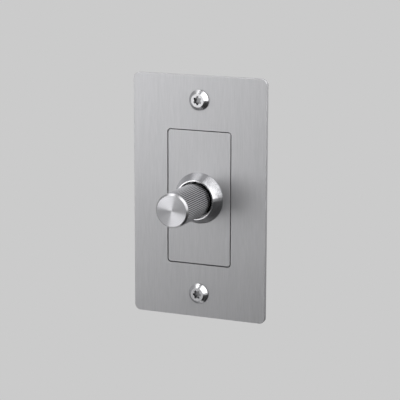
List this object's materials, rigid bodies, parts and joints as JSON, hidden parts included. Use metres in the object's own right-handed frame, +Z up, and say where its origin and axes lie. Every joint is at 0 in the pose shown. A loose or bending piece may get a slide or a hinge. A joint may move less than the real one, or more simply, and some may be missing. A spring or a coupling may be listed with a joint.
{
  "type": "dimmer switch",
  "caption": "Rotary push on/off wall dimmer with a brushed steel plate, a bevelled collar and a straight-fluted metal knob.",
  "frame": {"origin": "on the knob's axis, in the plane of the wall", "axes": "+Z up the wall, +Y into the wall along the knob's axis, +X to the right as seen from the room"},
  "size_m": [0.0698, 0.069, 0.1206],
  "materials": {
    "satin_stainless": "vertically brushed",
    "fluted_stainless": "turned and fluted",
    "polished_stainless": "turned and polished",
    "black_gasket": "moulded",
    "black_frame": "moulded",
    "grey_housing": "moulded thermoset",
    "switch_case": "moulded",
    "natural_nylon": "moulded",
    "zinc_plated_steel": "stamped, zinc plated",
    "nickel_plated_brass": "turned, nickel plated",
    "aluminium": "turned",
    "brass": "stamped",
    "phosphor_bronze": "rolled spring strip",
    "tinned_brass": "stamped, tinned",
    "spring_steel": "drawn wire",
    "green_steel": "green passivated",
    "track_laminate": "punched laminate",
    "board_laminate": "punched laminate",
    "iron_powder": "pressed and coated",
    "enamelled_copper": "enamelled wire",
    "film_case": "moulded",
    "small_film_case": "dipped",
    "resistor_coat": "baked coating",
    "diac_glass": "coated glass",
    "black_epoxy": "moulded",
    "silicone_pad": "sheet"
  },
  "bodies": {
    "base": {"wall_plate": "satin_stainless", "insert_plate": "satin_stainless", "collar": "polished_stainless", "plate_screws": "polished_stainless", "plate_gasket": "black_gasket", "front_frame": "black_frame", "rear_housing": "grey_housing", "switch_housing": "switch_case", "mounting_strap": "zinc_plated_steel", "box_screws": "zinc_plated_steel", "housing_screws": "zinc_plated_steel", "control_can": "zinc_plated_steel", "lock_washer": "zinc_plated_steel", "threaded_bushing": "nickel_plated_brass", "bushing_nut": "nickel_plated_brass", "triac_rivet": "aluminium", "terminal_plates": "brass", "terminal_screws": "brass", "track_terminals": "tinned_brass", "fixed_contacts": "tinned_brass", "triac_leads": "tinned_brass", "return_spring": "spring_steel", "ground_screw": "green_steel", "track_wafer": "track_laminate", "circuit_board": "board_laminate", "choke_core": "iron_powder", "choke_winding": "enamelled_copper", "film_capacitor": "film_case", "timing_capacitor": "small_film_case", "resistors": "resistor_coat", "diac": "diac_glass", "triac_case": "black_epoxy", "thermal_pad": "silicone_pad"},
    "plunger": {"switch_plunger": "natural_nylon", "latch_wheel": "natural_nylon", "contact_bridge": "phosphor_bronze"},
    "knob": {"knob": "fluted_stainless", "knob_hub": "natural_nylon", "spindle": "aluminium", "spindle_clip": "zinc_plated_steel"},
    "rotor": {"rotor": "natural_nylon", "wiper": "phosphor_bronze"}
  },
  "joints": [
    {"name": "knob_push", "type": "slide", "parent": "base", "child": "plunger", "axis": [0, 1, 0], "range_m": [0, 0.0015], "stiffness_N_per_m": 1500, "springref_m": -0.0015, "deforming": ["return_spring"]},
    {"name": "knob_turn", "type": "hinge", "parent": "plunger", "child": "knob", "pos_m": [0, 0, 0], "axis": [0, 1, 0], "range_deg": [-150, 150]},
    {"name": "rotor_turn", "type": "hinge", "parent": "base", "child": "rotor", "pos_m": [0, 0, 0], "axis": [0, 1, 0], "range_deg": [-150, 150]}
  ],
  "couplings": [
    {"joint": "rotor_turn", "follows": "knob_turn", "ratio": 1}
  ]
}
